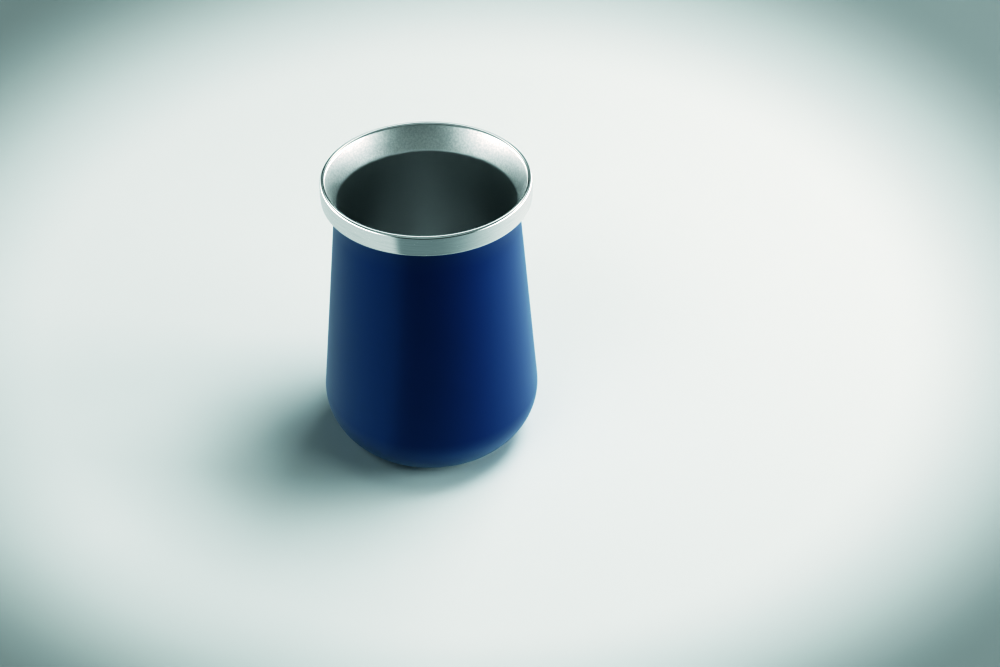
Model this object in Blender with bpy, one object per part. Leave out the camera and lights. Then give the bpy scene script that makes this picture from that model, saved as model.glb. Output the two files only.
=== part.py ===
"""A double-walled steel drinking cup for mate: a powder-coated shell round a bare steel liner.

The liner's mouth is a short funnel, and its lip is rolled over and down into a plain steel band
with a slightly full face, which stands out over the shell. Both walls are sheet: each is a profile,
turned about Z by a Screw modifier and given its thickness by a Solidify modifier on its hidden side.
The cup stands on Z = 0 with its axis on Z.
"""
import bpy
from math import acos, asin, atan2, ceil, cos, hypot, pi, sin

# Driving dimensions, in metres
HEIGHT = 0.1185            # what the cup stands on to the top of the lip
LIP_RADIUS = 0.03930       # outside of the lip, and of the band below it
LIP_ROUND = 0.0010         # radius of the rolled edge
BAND_HEIGHT = 0.0085       # top of the lip to the band's lower edge
BAND_CROWN = 0.0300        # radius of the band's slightly full face
CROWN_RISE = 0.00014       # how far that face stands out beyond its two rounded edges
BAND_ROUND = 0.0012        # rounding of that lower edge
THROAT_RADIUS = 0.0336     # inside, where the funnel ends
THROAT_HEIGHT = 0.1076
THROAT_ROUND = 0.0032
INSIDE_FLOOR = 0.0055      # height of the floor inside
INSIDE_RADIUS = 0.0322     # inside wall where it meets the floor's corner
INSIDE_ROUND = 0.0100
NECK_RADIUS = 0.03500      # outside of the shell at its narrowest
NECK_HEIGHT = 0.1030
NECK_ROUND = 0.0400        # the slight hollow curve there
BODY_RADIUS = 0.0426       # outside of the shell at its widest
FOOT_ROUND = 0.0212        # the large round corner at the foot
RECESS_RADIUS = 0.0170     # the shallow recess underneath
RECESS_DEPTH = 0.0010
SHEET = 0.00045            # thickness of both walls
GAP = 0.0003               # between the band's tucked edge and the shell
SHELL_TUCK = 0.0001        # how far the shell's top edge reaches up inside the band

# Fineness of the faceted solid
AROUND = 56
CHORD_ERROR = 0.00006

NAVY = (0.004, 0.022, 0.105)
STEEL = (0.62, 0.63, 0.62)


def belt(stations, start=None):
    """Points along a path laid round pegs, each (radius, height, round).

    A positive round turns the path left about the peg, a negative one turns it right, and a round
    of 0 is a sharp corner or an end. A path that begins on its first peg has its start heading given.
    """
    headings = []
    for (r0, z0, turn0), (r1, z1, turn1) in zip(stations, stations[1:]):
        straight = atan2(z1 - z0, r1 - r0)
        headings.append(straight - asin((turn1 - turn0) / hypot(r1 - r0, z1 - z0)))
    points = []
    arrivals = [headings[0] if start is None else start] + headings
    departures = headings + [headings[-1]]
    for (r, z, turn), arrive, depart in zip(stations, arrivals, departures):
        if turn == 0:
            points.append((r, z))
            continue
        sweep = (depart - arrive + pi) % (2 * pi) - pi
        finest = 2 * acos(1 - CHORD_ERROR / abs(turn))
        steps = max(1, ceil(abs(sweep) / finest))
        for i in range(steps + 1):
            heading = arrive + sweep * i / steps
            points.append((r + turn * sin(heading), z - turn * cos(heading)))
    return points


def neck_lean(height):
    """How far the shell leans out from upright at a height on its neck's hollow curve."""
    return asin((height - NECK_HEIGHT) / NECK_ROUND)


def shell_profile():
    """Down the outside, from the edge hidden in the band to the middle of the underside."""
    top_lean = neck_lean(HEIGHT - BAND_HEIGHT + SHELL_TUCK)
    return belt([
        (NECK_RADIUS + NECK_ROUND, NECK_HEIGHT, NECK_ROUND),
        (BODY_RADIUS - FOOT_ROUND, FOOT_ROUND, -FOOT_ROUND),
        (RECESS_RADIUS + RECESS_DEPTH, 0, 0),
        (RECESS_RADIUS, RECESS_DEPTH, 0),
        (0, RECESS_DEPTH, 0),
    ], start=-pi / 2 - top_lean)


def liner_profile():
    """Up the inside from the middle of the floor, over the lip and down to the band's tucked edge."""
    band_foot = HEIGHT - BAND_HEIGHT
    shell_there = NECK_RADIUS + NECK_ROUND * (1 - cos(neck_lean(band_foot + SHEET)))
    return belt([
        (0, INSIDE_FLOOR, 0),
        (INSIDE_RADIUS - INSIDE_ROUND, INSIDE_FLOOR + INSIDE_ROUND, INSIDE_ROUND),
        (THROAT_RADIUS + THROAT_ROUND, THROAT_HEIGHT, -THROAT_ROUND),
        (LIP_RADIUS - LIP_ROUND - CROWN_RISE, HEIGHT - LIP_ROUND, -LIP_ROUND),
        (LIP_RADIUS - BAND_CROWN, HEIGHT - BAND_HEIGHT / 2, -BAND_CROWN),
        (LIP_RADIUS - BAND_ROUND - CROWN_RISE, band_foot + BAND_ROUND, -BAND_ROUND),
        (shell_there + GAP, band_foot, 0),
    ])


def material(name, colour, roughness, metallic):
    made = bpy.data.materials.new(name)
    made.use_nodes = True
    surface = made.node_tree.nodes["Principled BSDF"]
    surface.inputs["Base Color"].default_value = (*colour, 1)
    surface.inputs["Roughness"].default_value = roughness
    surface.inputs["Metallic"].default_value = metallic
    made.diffuse_color = (*colour, 1)
    return made


def turned_sheet(name, profile, finish):
    """One closed wall of sheet: the profile is its visible face."""
    mesh = bpy.data.meshes.new(name)
    points = [(r, 0, z) for r, z in profile]
    mesh.from_pydata(points, [(i, i + 1) for i in range(len(points) - 1)], [])
    mesh.materials.append(finish)
    made = bpy.data.objects.new(name, mesh)
    bpy.context.scene.collection.objects.link(made)

    turn = made.modifiers.new("turn", "SCREW")
    turn.steps = AROUND
    turn.render_steps = AROUND
    turn.use_merge_vertices = True
    turn.merge_threshold = 0.00002
    turn.use_smooth_shade = True

    wall = made.modifiers.new("sheet", "SOLIDIFY")
    wall.thickness = SHEET
    wall.offset = -1
    wall.use_even_offset = True
    wall.use_rim = True
    return made


for leftover in list(bpy.data.objects):
    bpy.data.objects.remove(leftover, do_unlink=True)

turned_sheet("shell", shell_profile(), material("navy_powder_coat", NAVY, 0.42, 0.0))
turned_sheet("liner", liner_profile(), material("satin_steel", STEEL, 0.28, 1.0))
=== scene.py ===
# %% [markdown]
# # A double-walled steel cup for mate
#
# The real cup is two turned sheets of stainless steel, one inside the other. The outer one is a
# pear-shaped shell with a navy powder coat. The inner one is a bare steel liner: it rises past the
# shell, opens into a short funnel, rolls over at the lip and comes down outside as a wide band.
# The lesson dresses a fixed model of that cup. Sizes are repeated as named values, and nothing in
# the model is moved.

# %% The fixed model
from math import acos, asin, atan2, ceil, cos, hypot, pi, radians, sin

import bpy
from mathutils import Matrix, Vector


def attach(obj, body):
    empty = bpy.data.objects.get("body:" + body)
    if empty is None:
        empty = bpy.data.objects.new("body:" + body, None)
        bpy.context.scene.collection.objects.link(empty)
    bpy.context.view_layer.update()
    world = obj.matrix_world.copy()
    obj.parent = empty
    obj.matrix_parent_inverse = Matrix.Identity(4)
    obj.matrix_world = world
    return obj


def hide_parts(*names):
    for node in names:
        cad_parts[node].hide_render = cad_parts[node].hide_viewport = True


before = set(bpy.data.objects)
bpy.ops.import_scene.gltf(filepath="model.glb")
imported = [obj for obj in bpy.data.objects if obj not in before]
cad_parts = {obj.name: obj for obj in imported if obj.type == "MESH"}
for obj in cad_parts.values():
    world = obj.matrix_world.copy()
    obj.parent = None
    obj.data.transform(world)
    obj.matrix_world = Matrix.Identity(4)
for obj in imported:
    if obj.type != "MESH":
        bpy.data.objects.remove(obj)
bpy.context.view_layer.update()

MM = 0.001

# %% [markdown]
# ## The camera
#
# A photograph of a round cup tells a lot about its camera. The lip and the band's lower edge are
# circles, so the flatness of their ellipses gives the tilt, and the way the sides draw together
# gives the distance. A short telephoto lens from about 70 cm, looking down 38.5 degrees, fits both.
# The body also sits a pixel to the right of the lip, which a camera rolled by a quarter of a degree
# explains. The camera could aim at an empty with a Track To constraint, but plain angles are
# easier to read.

# %% The camera
CAMERA_PLACE = Vector((0.0274, -0.5268, 0.4643))
CAMERA_DOWN = radians(38.535)
CAMERA_ROLL = radians(0.23)
LENS_MM = 61.4
SENSOR_MM = 36
NEAREST_SEEN = 10 * MM

lens = bpy.data.cameras.new("camera")
lens.lens = LENS_MM
lens.sensor_width = SENSOR_MM
lens.clip_start = NEAREST_SEEN
camera = bpy.data.objects.new("camera", lens)
tilt = Matrix.Rotation(pi / 2 - CAMERA_DOWN, 4, "X")
roll = Matrix.Rotation(CAMERA_ROLL, 4, "Z")
camera.matrix_world = Matrix.Translation(CAMERA_PLACE) @ tilt @ roll
bpy.context.scene.collection.objects.link(camera)
bpy.context.scene.camera = camera
print("camera", round(CAMERA_PLACE.length, 3), "m from the cup's foot")

# %% [markdown]
# ## Turned sheet
#
# Both walls are made the way a spinner makes them, from one profile turned about the axis. The
# profile is a belt laid round pegs: each rounding is an arc, and the straight runs between them
# are the tangents, so every joint is smooth with no point placed by hand. A Bezier curve could
# draw the same line, but its handles would hide the radii. A Screw modifier turns the profile
# and a Solidify modifier gives the sheet its thickness on the side that doesn't show.

# %% A belt laid round pegs
CHORD_ERROR = 0.002 * MM
WIDEST_STEP = radians(9)


def belt(stations, start=None):
    """Points along a path round pegs, each (radius, height, round).

    A positive round turns the path left, a negative one turns it right, and 0 is a sharp corner
    or an end. A path that begins on its first peg has its start heading given.
    """
    headings = []
    for (r0, z0, turn0), (r1, z1, turn1) in zip(stations, stations[1:]):
        straight = atan2(z1 - z0, r1 - r0)
        headings.append(straight - asin((turn1 - turn0) / hypot(r1 - r0, z1 - z0)))
    points = []
    arrivals = [headings[0] if start is None else start] + headings
    departures = headings + [headings[-1]]
    for (r, z, turn), arrive, depart in zip(stations, arrivals, departures):
        if turn == 0:
            points.append((r, z))
            continue
        sweep = (depart - arrive + pi) % (2 * pi) - pi
        finest = min(WIDEST_STEP, 2 * acos(1 - CHORD_ERROR / abs(turn)))
        steps = max(1, ceil(abs(sweep) / finest))
        for i in range(steps + 1):
            heading = arrive + sweep * i / steps
            points.append((r + turn * sin(heading), z - turn * cos(heading)))
    return points


trial = belt([(0, 0, 0), (20 * MM, 10 * MM, 10 * MM), (30 * MM, 50 * MM, 0)])
print("a corner of 10 mm radius takes", len(trial) - 2, "points")

# %% Turning a profile into a wall of sheet
SHEET = 0.45 * MM
AROUND = 240
MERGED_BELOW = 0.01 * MM


def turned_sheet(name, profile, finish, node):
    """A closed wall whose visible face is the profile turned about Z, standing for one node."""
    mesh = bpy.data.meshes.new(name)
    points = [(r, 0, z) for r, z in profile]
    mesh.from_pydata(points, [(i, i + 1) for i in range(len(points) - 1)], [])
    mesh.materials.append(finish)
    made = bpy.data.objects.new(name, mesh)
    bpy.context.scene.collection.objects.link(made)
    turn = made.modifiers.new("turn", "SCREW")
    turn.steps = AROUND
    turn.render_steps = AROUND
    turn.use_merge_vertices = True
    turn.merge_threshold = MERGED_BELOW
    turn.use_smooth_shade = True
    wall = made.modifiers.new("sheet", "SOLIDIFY")
    wall.thickness = SHEET
    wall.offset = -1
    wall.use_even_offset = True
    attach(made, "root")
    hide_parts(node)
    print(name, "has", len(profile), "points in its profile, so about", 2 * len(profile) * AROUND, "faces")


# %% [markdown]
# ## Materials as expressions
#
# A finish is easier to read as a formula than as a drawing of boxes. One small class wraps an
# output socket, and the usual operators then add Math nodes. Anything else, such as a noise or a
# bump, comes from its method `node`, which takes the node's type, its settings and its inputs.

# %% A socket with arithmetic
class Wire:
    """An output socket of a material, with arithmetic on its values."""

    def __init__(self, socket):
        self.socket = socket
        self.tree = socket.id_data

    def node(self, kind, settings=None, inputs=None, output=0):
        """Adds any node: its settings first, then what its sockets hold or are linked to."""
        made = self.tree.nodes.new(kind)
        for name, value in (settings or {}).items():
            setattr(made, name, value)
        for name, value in (inputs or {}).items():
            named = [s for s in made.inputs if s.enabled and name in (s.identifier, s.name)]
            if isinstance(value, Wire):
                self.tree.links.new(value.socket, named[0])
            else:
                named[0].default_value = value
        return Wire([s for s in made.outputs if s.enabled][output])

    def math(self, operation, other, swap=False):
        """A Math node on this value and another, in that order or swapped."""
        made = self.tree.nodes.new("ShaderNodeMath")
        made.operation = operation
        for socket, value in zip(made.inputs, (other, self) if swap else (self, other)):
            if isinstance(value, Wire):
                self.tree.links.new(value.socket, socket)
            else:
                socket.default_value = value
        return Wire(made.outputs[0])

    def __add__(self, other):
        return self.math("ADD", other)

    def __sub__(self, other):
        return self.math("SUBTRACT", other)

    def __rsub__(self, other):
        return self.math("SUBTRACT", other, swap=True)

    def __mul__(self, other):
        return self.math("MULTIPLY", other)

    __radd__ = __add__
    __rmul__ = __mul__

    def rise(self, low, high):
        """0 below low, 1 above high and smooth between; with low above high it falls."""
        return self.node("ShaderNodeMapRange", {"interpolation_type": "SMOOTHSTEP"}, {
            "Value": self, "From Min": low, "From Max": high})


print("a Wire knows", [word for word in vars(Wire) if not word.startswith("__")])

# %% Starting a finish
def new_finish(name, **constants):
    """A Principled material with its constant sockets set, and a wire of each point's place."""
    made = bpy.data.materials.new(name)
    made.use_nodes = True
    surface = made.node_tree.nodes["Principled BSDF"]
    for socket, value in constants.items():
        surface.inputs[socket.replace("_", " ")].default_value = value
    place = made.node_tree.nodes.new("ShaderNodeTexCoord")
    return made, surface, Wire(place.outputs["Object"])


def join(wire, surface, socket):
    """Links a wire to a socket of a shader."""
    wire.tree.links.new(wire.socket, surface.inputs[socket])


def parts_of(place):
    """A place's x, y and z, and its distance from the cup's axis."""
    x, y, z = (place.node("ShaderNodeSeparateXYZ", inputs={"Vector": place}, output=i) for i in range(3))
    radius = (x * x + y * y).math("POWER", 0.5)
    return x, y, z, radius


def blend(factor, first, second):
    """The first colour where the factor is 0, the second where it is 1, and a mix between."""
    return factor.node("ShaderNodeMix", {"data_type": "RGBA"}, {
        "Factor": factor, "A": first, "B": second})


def noise(place, size, detail=2.0, rough=0.5):
    """A noise from 0 to 1 whose blotches measure about size."""
    return place.node("ShaderNodeTexNoise", {"noise_dimensions": "3D"}, {
        "Vector": place, "Scale": 1 / size, "Detail": detail, "Roughness": rough})


def bump(height, distance, under=None):
    """A normal for relief that rises by distance as height goes from 0 to 1, over one under it."""
    inputs = {"Height": height, "Distance": distance}
    if under is not None:
        inputs["Normal"] = under
    return height.node("ShaderNodeBump", inputs=inputs)


print("helpers ready: new_finish, join, parts_of, blend, noise, bump")

# %% [markdown]
# ## The navy powder coat
#
# Powder is sprayed on dry and melted in an oven, so the coat is even, satin and very slightly
# dimpled, like fine orange peel, with a grain of the powder's own size on top. It could be a plain
# dark blue with some gloss. The dimples and the grain are what make its highlights soft and alive,
# so both are bumps here, and the roughness wanders a little over a centimetre or two. The shine of
# this coat is itself blue, as with a pearl pigment: a high index of refraction makes it strong, a
# tint colours it where the surface faces the eye, and a little sheen lifts the turning edges.

# %% The navy powder coat
PEEL_SIZE = 1.6 * MM
PEEL_DEPTH = 0.004 * MM
GRAIN_SIZE = 0.22 * MM
GRAIN_DEPTH = 0.0025 * MM
WANDER_SIZE = 14 * MM
NAVY = (0.0002, 0.0034, 0.066, 1)
NAVY_LIGHTER = (0.0003, 0.0044, 0.074, 1)
COAT_ROUGHNESS = 0.38
COAT_WANDER = 0.05
COAT_IOR = 1.9
COAT_SHINE = (0.08, 0.38, 1.0, 1)
SHEEN_AMOUNT = 0.12
SHEEN_ROUGHNESS = 0.5
SHEEN_COLOUR = (0.45, 0.9, 1.0, 1)


def powder_coat():
    """The shell's finish: dark blue, finely dimpled, with a shine and a sheen of their own colour."""
    made, surface, place = new_finish(
        "navy_powder_coat", Metallic=0.0, IOR=COAT_IOR, Specular_Tint=COAT_SHINE,
        Sheen_Weight=SHEEN_AMOUNT, Sheen_Roughness=SHEEN_ROUGHNESS, Sheen_Tint=SHEEN_COLOUR)
    wander = noise(place, WANDER_SIZE)
    join(blend(wander, NAVY, NAVY_LIGHTER), surface, "Base Color")
    join((wander - 0.5) * COAT_WANDER + COAT_ROUGHNESS, surface, "Roughness")
    peel = bump(noise(place, PEEL_SIZE), PEEL_DEPTH)
    grain = bump(noise(place, GRAIN_SIZE), GRAIN_DEPTH, under=peel)
    join(grain, surface, "Normal")
    print("powder coat: peel", PEEL_SIZE / MM, "mm, grain", GRAIN_SIZE / MM, "mm")
    return made


# %% [markdown]
# ## Bare steel
#
# The liner is one sheet with three finishes. The band was polished on a lathe, so it mirrors its
# surroundings through faint hair lines that run round it. The funnel was blasted or etched: it has
# a sparkling grain, uneven over a millimetre or so, that spreads reflections wide. The inside is
# satin, with turning marks deep enough to draw every reflection out into an upright stripe. Three
# materials could meet at hard edges, but the real finishes fade into each other, so one material
# blends them by height and by distance from the axis.

# %% Where each finish is, and its colours
THROAT_FADE = (108.0 * MM, 109.4 * MM)
BAND_FADE = (37.9 * MM, 38.5 * MM)
LIP_FADE = (117.6 * MM, 118.0 * MM)
BAND_STEEL = (0.865, 0.855, 0.84, 1)
BAND_STREAK = (0.79, 0.78, 0.77, 1)
FUNNEL_STEEL = (0.95, 0.935, 0.92, 1)
FUNNEL_ETCHED = (0.78, 0.77, 0.76, 1)
INSIDE_STEEL = (0.875, 0.87, 0.875, 1)
STREAK_FADE = (0.42, 0.72)
ETCHED_FADE = (0.80, 1.20)
print("the inside's satin fades out from", round(THROAT_FADE[0] / MM, 1), "mm up, where the funnel starts")

# %% How rough and how deep each finish is
BAND_ROUGHNESS = 0.13
FUNNEL_ROUGHNESS = 0.40
INSIDE_ROUGHNESS = 0.31
CLOUD_SIZE = 9 * MM
CLOUD_WANDER = 0.05
DAPPLE_SIZE = 0.8 * MM
DAPPLE_WANDER = 0.3
DAPPLE_DEPTH = 0.03 * MM
SPARKLE_SIZE = 0.34 * MM
SPARKLE_DEPTH = 0.07 * MM
HAIR_LENGTH = 9 * MM
HAIR_WIDTH = 0.30 * MM
HAIR_WANDER = 0.08
HAIR_DEPTH = 0.0012 * MM
DEEPER_INSIDE = 6
print("turning marks inside are", DEEPER_INSIDE, "times as deep as the band's hair lines")

# %% Bare steel
def satin_steel():
    """The liner's three finishes in one material."""
    made, surface, place = new_finish("satin_steel", Metallic=1.0)
    x, y, z, radius = parts_of(place)
    inside = z.rise(THROAT_FADE[1], THROAT_FADE[0]) * radius.rise(BAND_FADE[1], BAND_FADE[0])
    turned = radius.rise(*BAND_FADE).math("MAXIMUM", z.rise(*LIP_FADE))
    etched = (1 - turned) * (1 - inside)

    hair_place = x.node("ShaderNodeCombineXYZ", inputs={
        "X": x * (1 / HAIR_LENGTH), "Y": y * (1 / HAIR_LENGTH), "Z": (z + radius) * (1 / HAIR_WIDTH)})
    hair = noise(hair_place, 1.0, detail=3.0, rough=0.6)
    sparkle = noise(place, SPARKLE_SIZE)
    dapple = noise(place, DAPPLE_SIZE)
    cloud = noise(place, CLOUD_SIZE)

    funnel = blend((sparkle + dapple).rise(*ETCHED_FADE), FUNNEL_STEEL, FUNNEL_ETCHED)
    band = blend(hair.rise(*STREAK_FADE), BAND_STEEL, BAND_STREAK)
    join(blend(turned, blend(inside, funnel, INSIDE_STEEL), band), surface, "Base Color")

    rough = inside * (INSIDE_ROUGHNESS - FUNNEL_ROUGHNESS) + FUNNEL_ROUGHNESS
    rough = rough + (cloud - 0.5) * CLOUD_WANDER + (dapple - 0.5) * (1 - inside) * DAPPLE_WANDER
    rough = rough * (1 - turned) + turned * (BAND_ROUGHNESS + (hair - 0.5) * HAIR_WANDER)
    join(rough, surface, "Roughness")

    hairs = bump(hair * (turned + inside * DEEPER_INSIDE), HAIR_DEPTH)
    dapples = bump(dapple * etched, DAPPLE_DEPTH, under=hairs)
    sparkles = bump(sparkle * etched, SPARKLE_DEPTH, under=dapples)
    join(sparkles, surface, "Normal")
    print("steel: hair lines", HAIR_WIDTH / MM, "mm, sparkle", SPARKLE_SIZE / MM, "mm")
    return made


# %% [markdown]
# ## The shell
#
# The shell is what the hand holds: slim under the band, widest near the foot, with one large round
# corner below. It could be carved from a cylinder with loop cuts. Its outline is two arcs and the
# line between them, so a belt round two pegs gives it exactly.

# %% The shell
HEIGHT = 118.5 * MM
BAND_HEIGHT = 8.5 * MM
NECK_RADIUS = 35 * MM
NECK_HEIGHT = 103 * MM
NECK_ROUND = 40 * MM
BODY_RADIUS = 42.6 * MM
FOOT_ROUND = 21.2 * MM
RECESS_RADIUS = 17 * MM
RECESS_DEPTH = 1 * MM
SHELL_TUCK = 0.1 * MM


def neck_lean(height):
    """How far the shell leans out from upright at a height on its neck's hollow curve."""
    return asin((height - NECK_HEIGHT) / NECK_ROUND)


shell_profile = belt([
    (NECK_RADIUS + NECK_ROUND, NECK_HEIGHT, NECK_ROUND),
    (BODY_RADIUS - FOOT_ROUND, FOOT_ROUND, -FOOT_ROUND),
    (RECESS_RADIUS + RECESS_DEPTH, 0, 0),
    (RECESS_RADIUS, RECESS_DEPTH, 0),
    (0, RECESS_DEPTH, 0),
], start=-pi / 2 - neck_lean(HEIGHT - BAND_HEIGHT + SHELL_TUCK))
turned_sheet("navy_shell", shell_profile, powder_coat(), "shell")

# %% [markdown]
# ## The liner
#
# One sheet again, followed from the middle of the inside floor: up the wall, out through the
# throat into the funnel, over the lip, down the slightly full face of the band and in under it,
# where a thin gap is left to the shell. The band could be a ring of its own, but on the real cup it
# is the same sheet, so one profile carries on round the lip. The lip is rolled, so it has a radius
# of its own, and so has the band's lower edge.

# %% The liner
LIP_RADIUS = 39.3 * MM
LIP_ROUND = 1.0 * MM
BAND_CROWN = 30 * MM
CROWN_RISE = 0.14 * MM
BAND_ROUND = 1.2 * MM
THROAT_RADIUS = 33.6 * MM
THROAT_HEIGHT = 107.6 * MM
THROAT_ROUND = 3.2 * MM
INSIDE_FLOOR = 5.5 * MM
INSIDE_RADIUS = 32.2 * MM
INSIDE_ROUND = 10 * MM
GAP = 0.3 * MM

band_foot = HEIGHT - BAND_HEIGHT
shell_there = NECK_RADIUS + NECK_ROUND * (1 - cos(neck_lean(band_foot + SHEET)))
liner_profile = belt([
    (0, INSIDE_FLOOR, 0),
    (INSIDE_RADIUS - INSIDE_ROUND, INSIDE_FLOOR + INSIDE_ROUND, INSIDE_ROUND),
    (THROAT_RADIUS + THROAT_ROUND, THROAT_HEIGHT, -THROAT_ROUND),
    (LIP_RADIUS - LIP_ROUND - CROWN_RISE, HEIGHT - LIP_ROUND, -LIP_ROUND),
    (LIP_RADIUS - BAND_CROWN, HEIGHT - BAND_HEIGHT / 2, -BAND_CROWN),
    (LIP_RADIUS - BAND_ROUND - CROWN_RISE, band_foot + BAND_ROUND, -BAND_ROUND),
    (shell_there + GAP, band_foot, 0),
])
turned_sheet("steel_liner", liner_profile, satin_steel(), "liner")

# %% [markdown]
# ## The table
#
# The cup stands on a plain pale surface. Its faint cool green comes from the tone curves at the end,
# so the table's own colour is slightly warm. The light falls off towards the corners of the picture.
# A gradient could be laid over the finished render; instead the falloff is painted into the table's
# colour: a painted pool of light round the cup, with painted shade outside it and a little more
# painted shade to the right. The camera sees a wider stretch of table farther back, so the pool
# widens with y.

# %% The table
FLOOR_HALF = 1.5
FLOOR_ROUGHNESS = 0.6
FLOOR_SHINE = 0.2
# The table's colour holds a painted pool of light, with painted shade outside it and more painted shade to
# the right.
FLOOR_PALE = (0.785, 0.77, 0.742, 1)
FLOOR_PAINTED_DIM = (0.205, 0.200, 0.196, 1)
POOL_CENTRE = (-0.06, -0.056)
POOL_FADE = (0.87, 1.41)
VIEW_MIDDLE = Vector((27, 59, 0)) * MM
VIEW_HALF_WIDTH = 200 * MM
VIEW_SPREAD = 0.2255
VIEW_SHAPE = 0.94
PAINTED_DIM_RIGHT = 0.12


def flat_piece(name, half):
    """A level square about the cup's axis that reaches half its width to each side."""
    mesh = bpy.data.meshes.new(name)
    corners = [(-half, -half, 0), (half, -half, 0), (half, half, 0), (-half, half, 0)]
    mesh.from_pydata(corners, [], [(0, 1, 2, 3)])
    made = bpy.data.objects.new(name, mesh)
    bpy.context.scene.collection.objects.link(made)
    return made


def floor_with_painted_pool():
    """The table's colour with painted light: a pale painted pool of light, with painted shade outside it
    and a little more to the right.
    """
    made, surface, place = new_finish(
        "floor_with_painted_pool", Roughness=FLOOR_ROUGHNESS, Specular_IOR_Level=FLOOR_SHINE)
    x, y, *_ = parts_of(place)
    half_width = y * VIEW_SPREAD + VIEW_HALF_WIDTH
    across = (x - VIEW_MIDDLE.x).math("DIVIDE", half_width)
    deep = (y - VIEW_MIDDLE.y).math("DIVIDE", half_width) * VIEW_SHAPE
    # Painted shade that deepens a little towards the right.
    painted_dimming = 1 - across * PAINTED_DIM_RIGHT
    pool_x = across - POOL_CENTRE[0]
    pool_y = deep - POOL_CENTRE[1]
    away = (pool_x * pool_x + pool_y * pool_y).math("POWER", 0.5)
    # The painted pool of light: pale round the cup, painted shade farther out.
    lit = blend(away.rise(*POOL_FADE), FLOOR_PALE, FLOOR_PAINTED_DIM)
    colour = lit.node("ShaderNodeMix", {"data_type": "RGBA", "blend_type": "MULTIPLY"}, {
        "Factor": 1.0, "A": lit, "B": painted_dimming})
    join(colour, surface, "Base Color")
    return made


floor = flat_piece("floor", FLOOR_HALF)
floor.data.materials.append(floor_with_painted_pool())
print("table", 2 * FLOOR_HALF, "m square, lit over about", 2 * VIEW_HALF_WIDTH, "m")

# %% [markdown]
# ## The table that the metal mirrors
#
# Bright steel has no colour of its own: it shows what stands round it, and the band looks down at
# the table. There it finds a pale surface, paler at the right, where the light comes from, and a
# dark middle in front with a sharp left edge and a soft right one. The table itself could be
# darkened there, but the camera would see it. A second, glowing table is seen by reflections alone,
# as a photographer's cards are, and leaves the real one as it is.

# %% The table that the metal mirrors
CARD_HEIGHT = 0.5 * MM
CARD_NEAR = (0.035, 0.07)
DARK_LEFT = radians(-118)
DARK_LEFT_SOFT = radians(5)
DARK_RIGHT = (radians(-84), radians(26))
# The dark is full from the second distance outwards. The first is below 0, so some is left at the cup.
DARK_NEAR = (-0.15, 0.14)
PALE_FADE = (-0.4, 0.9)
PALE_GLOW = (0.62, 0.60, 0.59, 1)
PALE_RIGHT = (0.94, 0.91, 0.89, 1)
DARK_GLOW = (0.205, 0.215, 0.220, 1)


def only_in_reflections(piece):
    """Makes a stage piece that glossy rays alone can see."""
    piece.visible_camera = False
    piece.visible_diffuse = False
    piece.visible_shadow = False
    piece.visible_transmission = False


def reflected_table():
    """A glow that fades in a little way out from the cup, with the dark middle in front."""
    made = bpy.data.materials.new("reflected_table")
    made.use_nodes = True
    tree = made.node_tree
    tree.nodes.clear()
    place = Wire(tree.nodes.new("ShaderNodeTexCoord").outputs["Object"])
    x, y, _, radius = parts_of(place)
    bearing = y.math("ARCTAN2", x)
    left = bearing.rise(DARK_LEFT - DARK_LEFT_SOFT, DARK_LEFT + DARK_LEFT_SOFT)
    dark = left * bearing.rise(DARK_RIGHT[1], DARK_RIGHT[0]) * radius.rise(*DARK_NEAR)
    towards_right = x.math("DIVIDE", radius)
    pale = blend(towards_right.rise(*PALE_FADE), PALE_GLOW, PALE_RIGHT)
    glow = tree.nodes.new("ShaderNodeEmission")
    clear = tree.nodes.new("ShaderNodeBsdfTransparent")
    mixed = tree.nodes.new("ShaderNodeMixShader")
    out = tree.nodes.new("ShaderNodeOutputMaterial")
    join(blend(dark, pale, DARK_GLOW), glow, "Color")
    join(radius.rise(*CARD_NEAR), mixed, "Fac")
    tree.links.new(clear.outputs[0], mixed.inputs[1])
    tree.links.new(glow.outputs[0], mixed.inputs[2])
    tree.links.new(mixed.outputs[0], out.inputs["Surface"])
    return made


card = flat_piece("reflected_table", FLOOR_HALF)
card.location.z = CARD_HEIGHT
card.data.materials.append(reflected_table())
only_in_reflections(card)
print("the reflected table starts", CARD_NEAR[0], "m out")

# %% [markdown]
# ## The light
#
# A large soft key stands high at the right and a little behind, and a low window light comes from
# the right, close to the table: together they throw the soft double shadow to the left. Weak fills
# open it up. One huge box could be the key, but its shadow would be even: a few boxes of unlike
# power, side by side, shape the soft edge. The steel and the coat would also show each box as a
# bright square, which the real ones don't, so the boxes are kept out of reflections, and the
# surroundings that are reflected are made in the next step.

# %% The light
BOX_SIZE = 0.45
BOX_DISTANCE = 1.3


def softbox(name, azimuth, elevation, power):
    """A square light that faces the cup, placed by its bearing and its height in degrees."""
    light = bpy.data.lights.new(name, "AREA")
    light.size = BOX_SIZE
    light.energy = power
    made = bpy.data.objects.new(name, light)
    flat = cos(radians(elevation))
    aim = Vector((flat * cos(radians(azimuth)), flat * sin(radians(azimuth)), sin(radians(elevation))))
    made.location = aim * BOX_DISTANCE
    made.rotation_euler = (-aim).to_track_quat("-Z", "Y").to_euler()
    made.visible_glossy = False
    bpy.context.scene.collection.objects.link(made)
    print(name, power, "W at", azimuth, elevation)


for name, azimuth, elevation, power in (
        ("key", 28, 62, 6.2),
        ("key_above", 0, 72, 2.6),
        ("key_back", 45, 72, 1.8),
        ("key_side", 60, 46, 3.2),
        ("key_low", 30, 51, 1.2),
        ("window", 0, 8, 13.3),
        ("window_side", 20, 8, 2.4),
        ("window_high", 0, 24, 2.2),
        ("window_front", 336, 24, 0.7),
        ("fill_right", 330, 42, 1.3),
        ("fill_left", 210, 51, 0.6),
        ("fill_front", 240, 51, 1.6)):
    softbox(name, azimuth, elevation, power)

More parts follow.
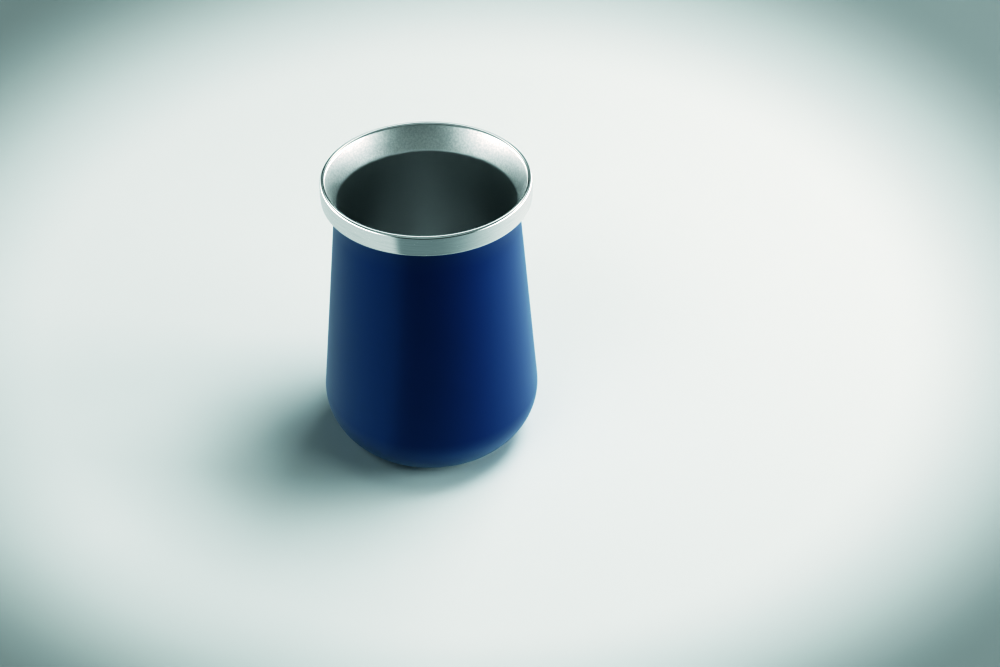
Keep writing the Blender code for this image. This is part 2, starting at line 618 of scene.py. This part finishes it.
# %% [markdown]
# ## What the metal mirrors
#
# The room is bright at the right and at the left, close to the horizon, and dark behind the camera.
# A patch high at the back draws the thin bright line along the lip and the lighter stripe down
# inside, and a weaker one high on the camera's side softens the dark line beside it. An image of a
# room could wrap the scene. A few bearings say it all here: the world is a formula of the
# direction, seen by glossy rays alone, and it adds no light to the table.

# %% What the metal mirrors
ROOM_COLOUR = (1.03, 1.0, 0.985, 1)
ROOM_DARK = 0.04
WINDOW_GLOW = 3.6
WINDOW_BEARING = radians(16)
WINDOW_REACH = (radians(60), radians(22))
WALL_GLOW = 3.5
WALL_BEARING = radians(180)
WALL_REACH = (radians(64), radians(18))

# A direction is one unit long: its z says how far up it looks, and its y how far to the back.
LOW_HEIGHT = (0.48, 0.25)
BACK_GLOW = 2.0
BACK_HEIGHT = (0.52, 0.70)
BACK_DEPTH = (0.25, 0.70)
FRONT_GLOW = 0.35
FRONT_HEIGHT = (0.50, 0.75)
FRONT_DEPTH = (0.3, -0.5)


def room():
    """The surroundings that the metal mirrors, as a world that lights nothing else."""
    world = bpy.data.worlds.new("studio")
    world.use_nodes = True
    tree = world.node_tree
    glow = tree.nodes["Background"]
    direction = Wire(tree.nodes.new("ShaderNodeTexCoord").outputs["Generated"])
    x, y, z, flat = parts_of(direction)

    def towards(bearing, reach):
        """1 close to a bearing, falling to 0 at the wider of the two angles of its reach."""
        along = (x * cos(bearing) + y * sin(bearing)) - flat * cos(reach[0])
        return along.rise(0.0, cos(reach[1]) - cos(reach[0]))

    window = towards(WINDOW_BEARING, WINDOW_REACH) * WINDOW_GLOW
    wall = towards(WALL_BEARING, WALL_REACH) * WALL_GLOW
    low = z.rise(*LOW_HEIGHT)
    back = z.rise(*BACK_HEIGHT) * y.rise(*BACK_DEPTH) * BACK_GLOW
    front = z.rise(*FRONT_HEIGHT) * y.rise(*FRONT_DEPTH) * FRONT_GLOW
    total = (window + wall) * low + back + front + ROOM_DARK
    glossy = Wire(tree.nodes.new("ShaderNodeLightPath").outputs["Is Glossy Ray"])
    glow.inputs["Color"].default_value = ROOM_COLOUR
    join(total * glossy, glow, "Strength")
    return world


bpy.context.scene.world = room()
print("the room glows", WINDOW_GLOW, "at the right and", WALL_GLOW, "at the left")

# %% [markdown]
# ## Tone
#
# The photograph has more contrast than plain light gives: its middle greys are lifted, its darks
# are deeper, and red is held back so that shadows turn to blue green. One of the ready-made looks
# could add contrast, but it would leave the shadows grey. Two curves in the view settings do both:
# one bends all three colours, and the other bends red alone.

# %% Tone
RED_CHANNEL = 0
ALL_CHANNELS = 3
ALL_CURVE = [
    (0, 0), (0.02, 0.009), (0.05, 0.032), (0.12, 0.113), (0.2, 0.225), (0.27, 0.335), (0.37, 0.475),
    (0.5, 0.62), (0.6, 0.70), (0.84, 0.84), (1.0, 0.93)]
RED_CURVE = [
    (0, 0), (0.025, 0.014), (0.067, 0.044), (0.109, 0.072), (0.195, 0.133), (0.352, 0.264),
    (0.539, 0.43), (0.716, 0.60), (0.82, 0.735), (1, 0.97)]


def bend(curve, points):
    """Sets a curve's two ends and adds the points between them."""
    curve.points[0].location = points[0]
    curve.points[-1].location = points[-1]
    for x, y in points[1:-1]:
        curve.points.new(x, y)


view = bpy.context.scene.view_settings
view.view_transform = "Standard"
view.use_curve_mapping = True
bend(view.curve_mapping.curves[ALL_CHANNELS], ALL_CURVE)
bend(view.curve_mapping.curves[RED_CHANNEL], RED_CURVE)
view.curve_mapping.update()
print("tone curves with", len(ALL_CURVE), "and", len(RED_CURVE), "points")

# %% [markdown]
# ## Sizes, and the end
#
# The dressed cup must be as large as the model it stands for.
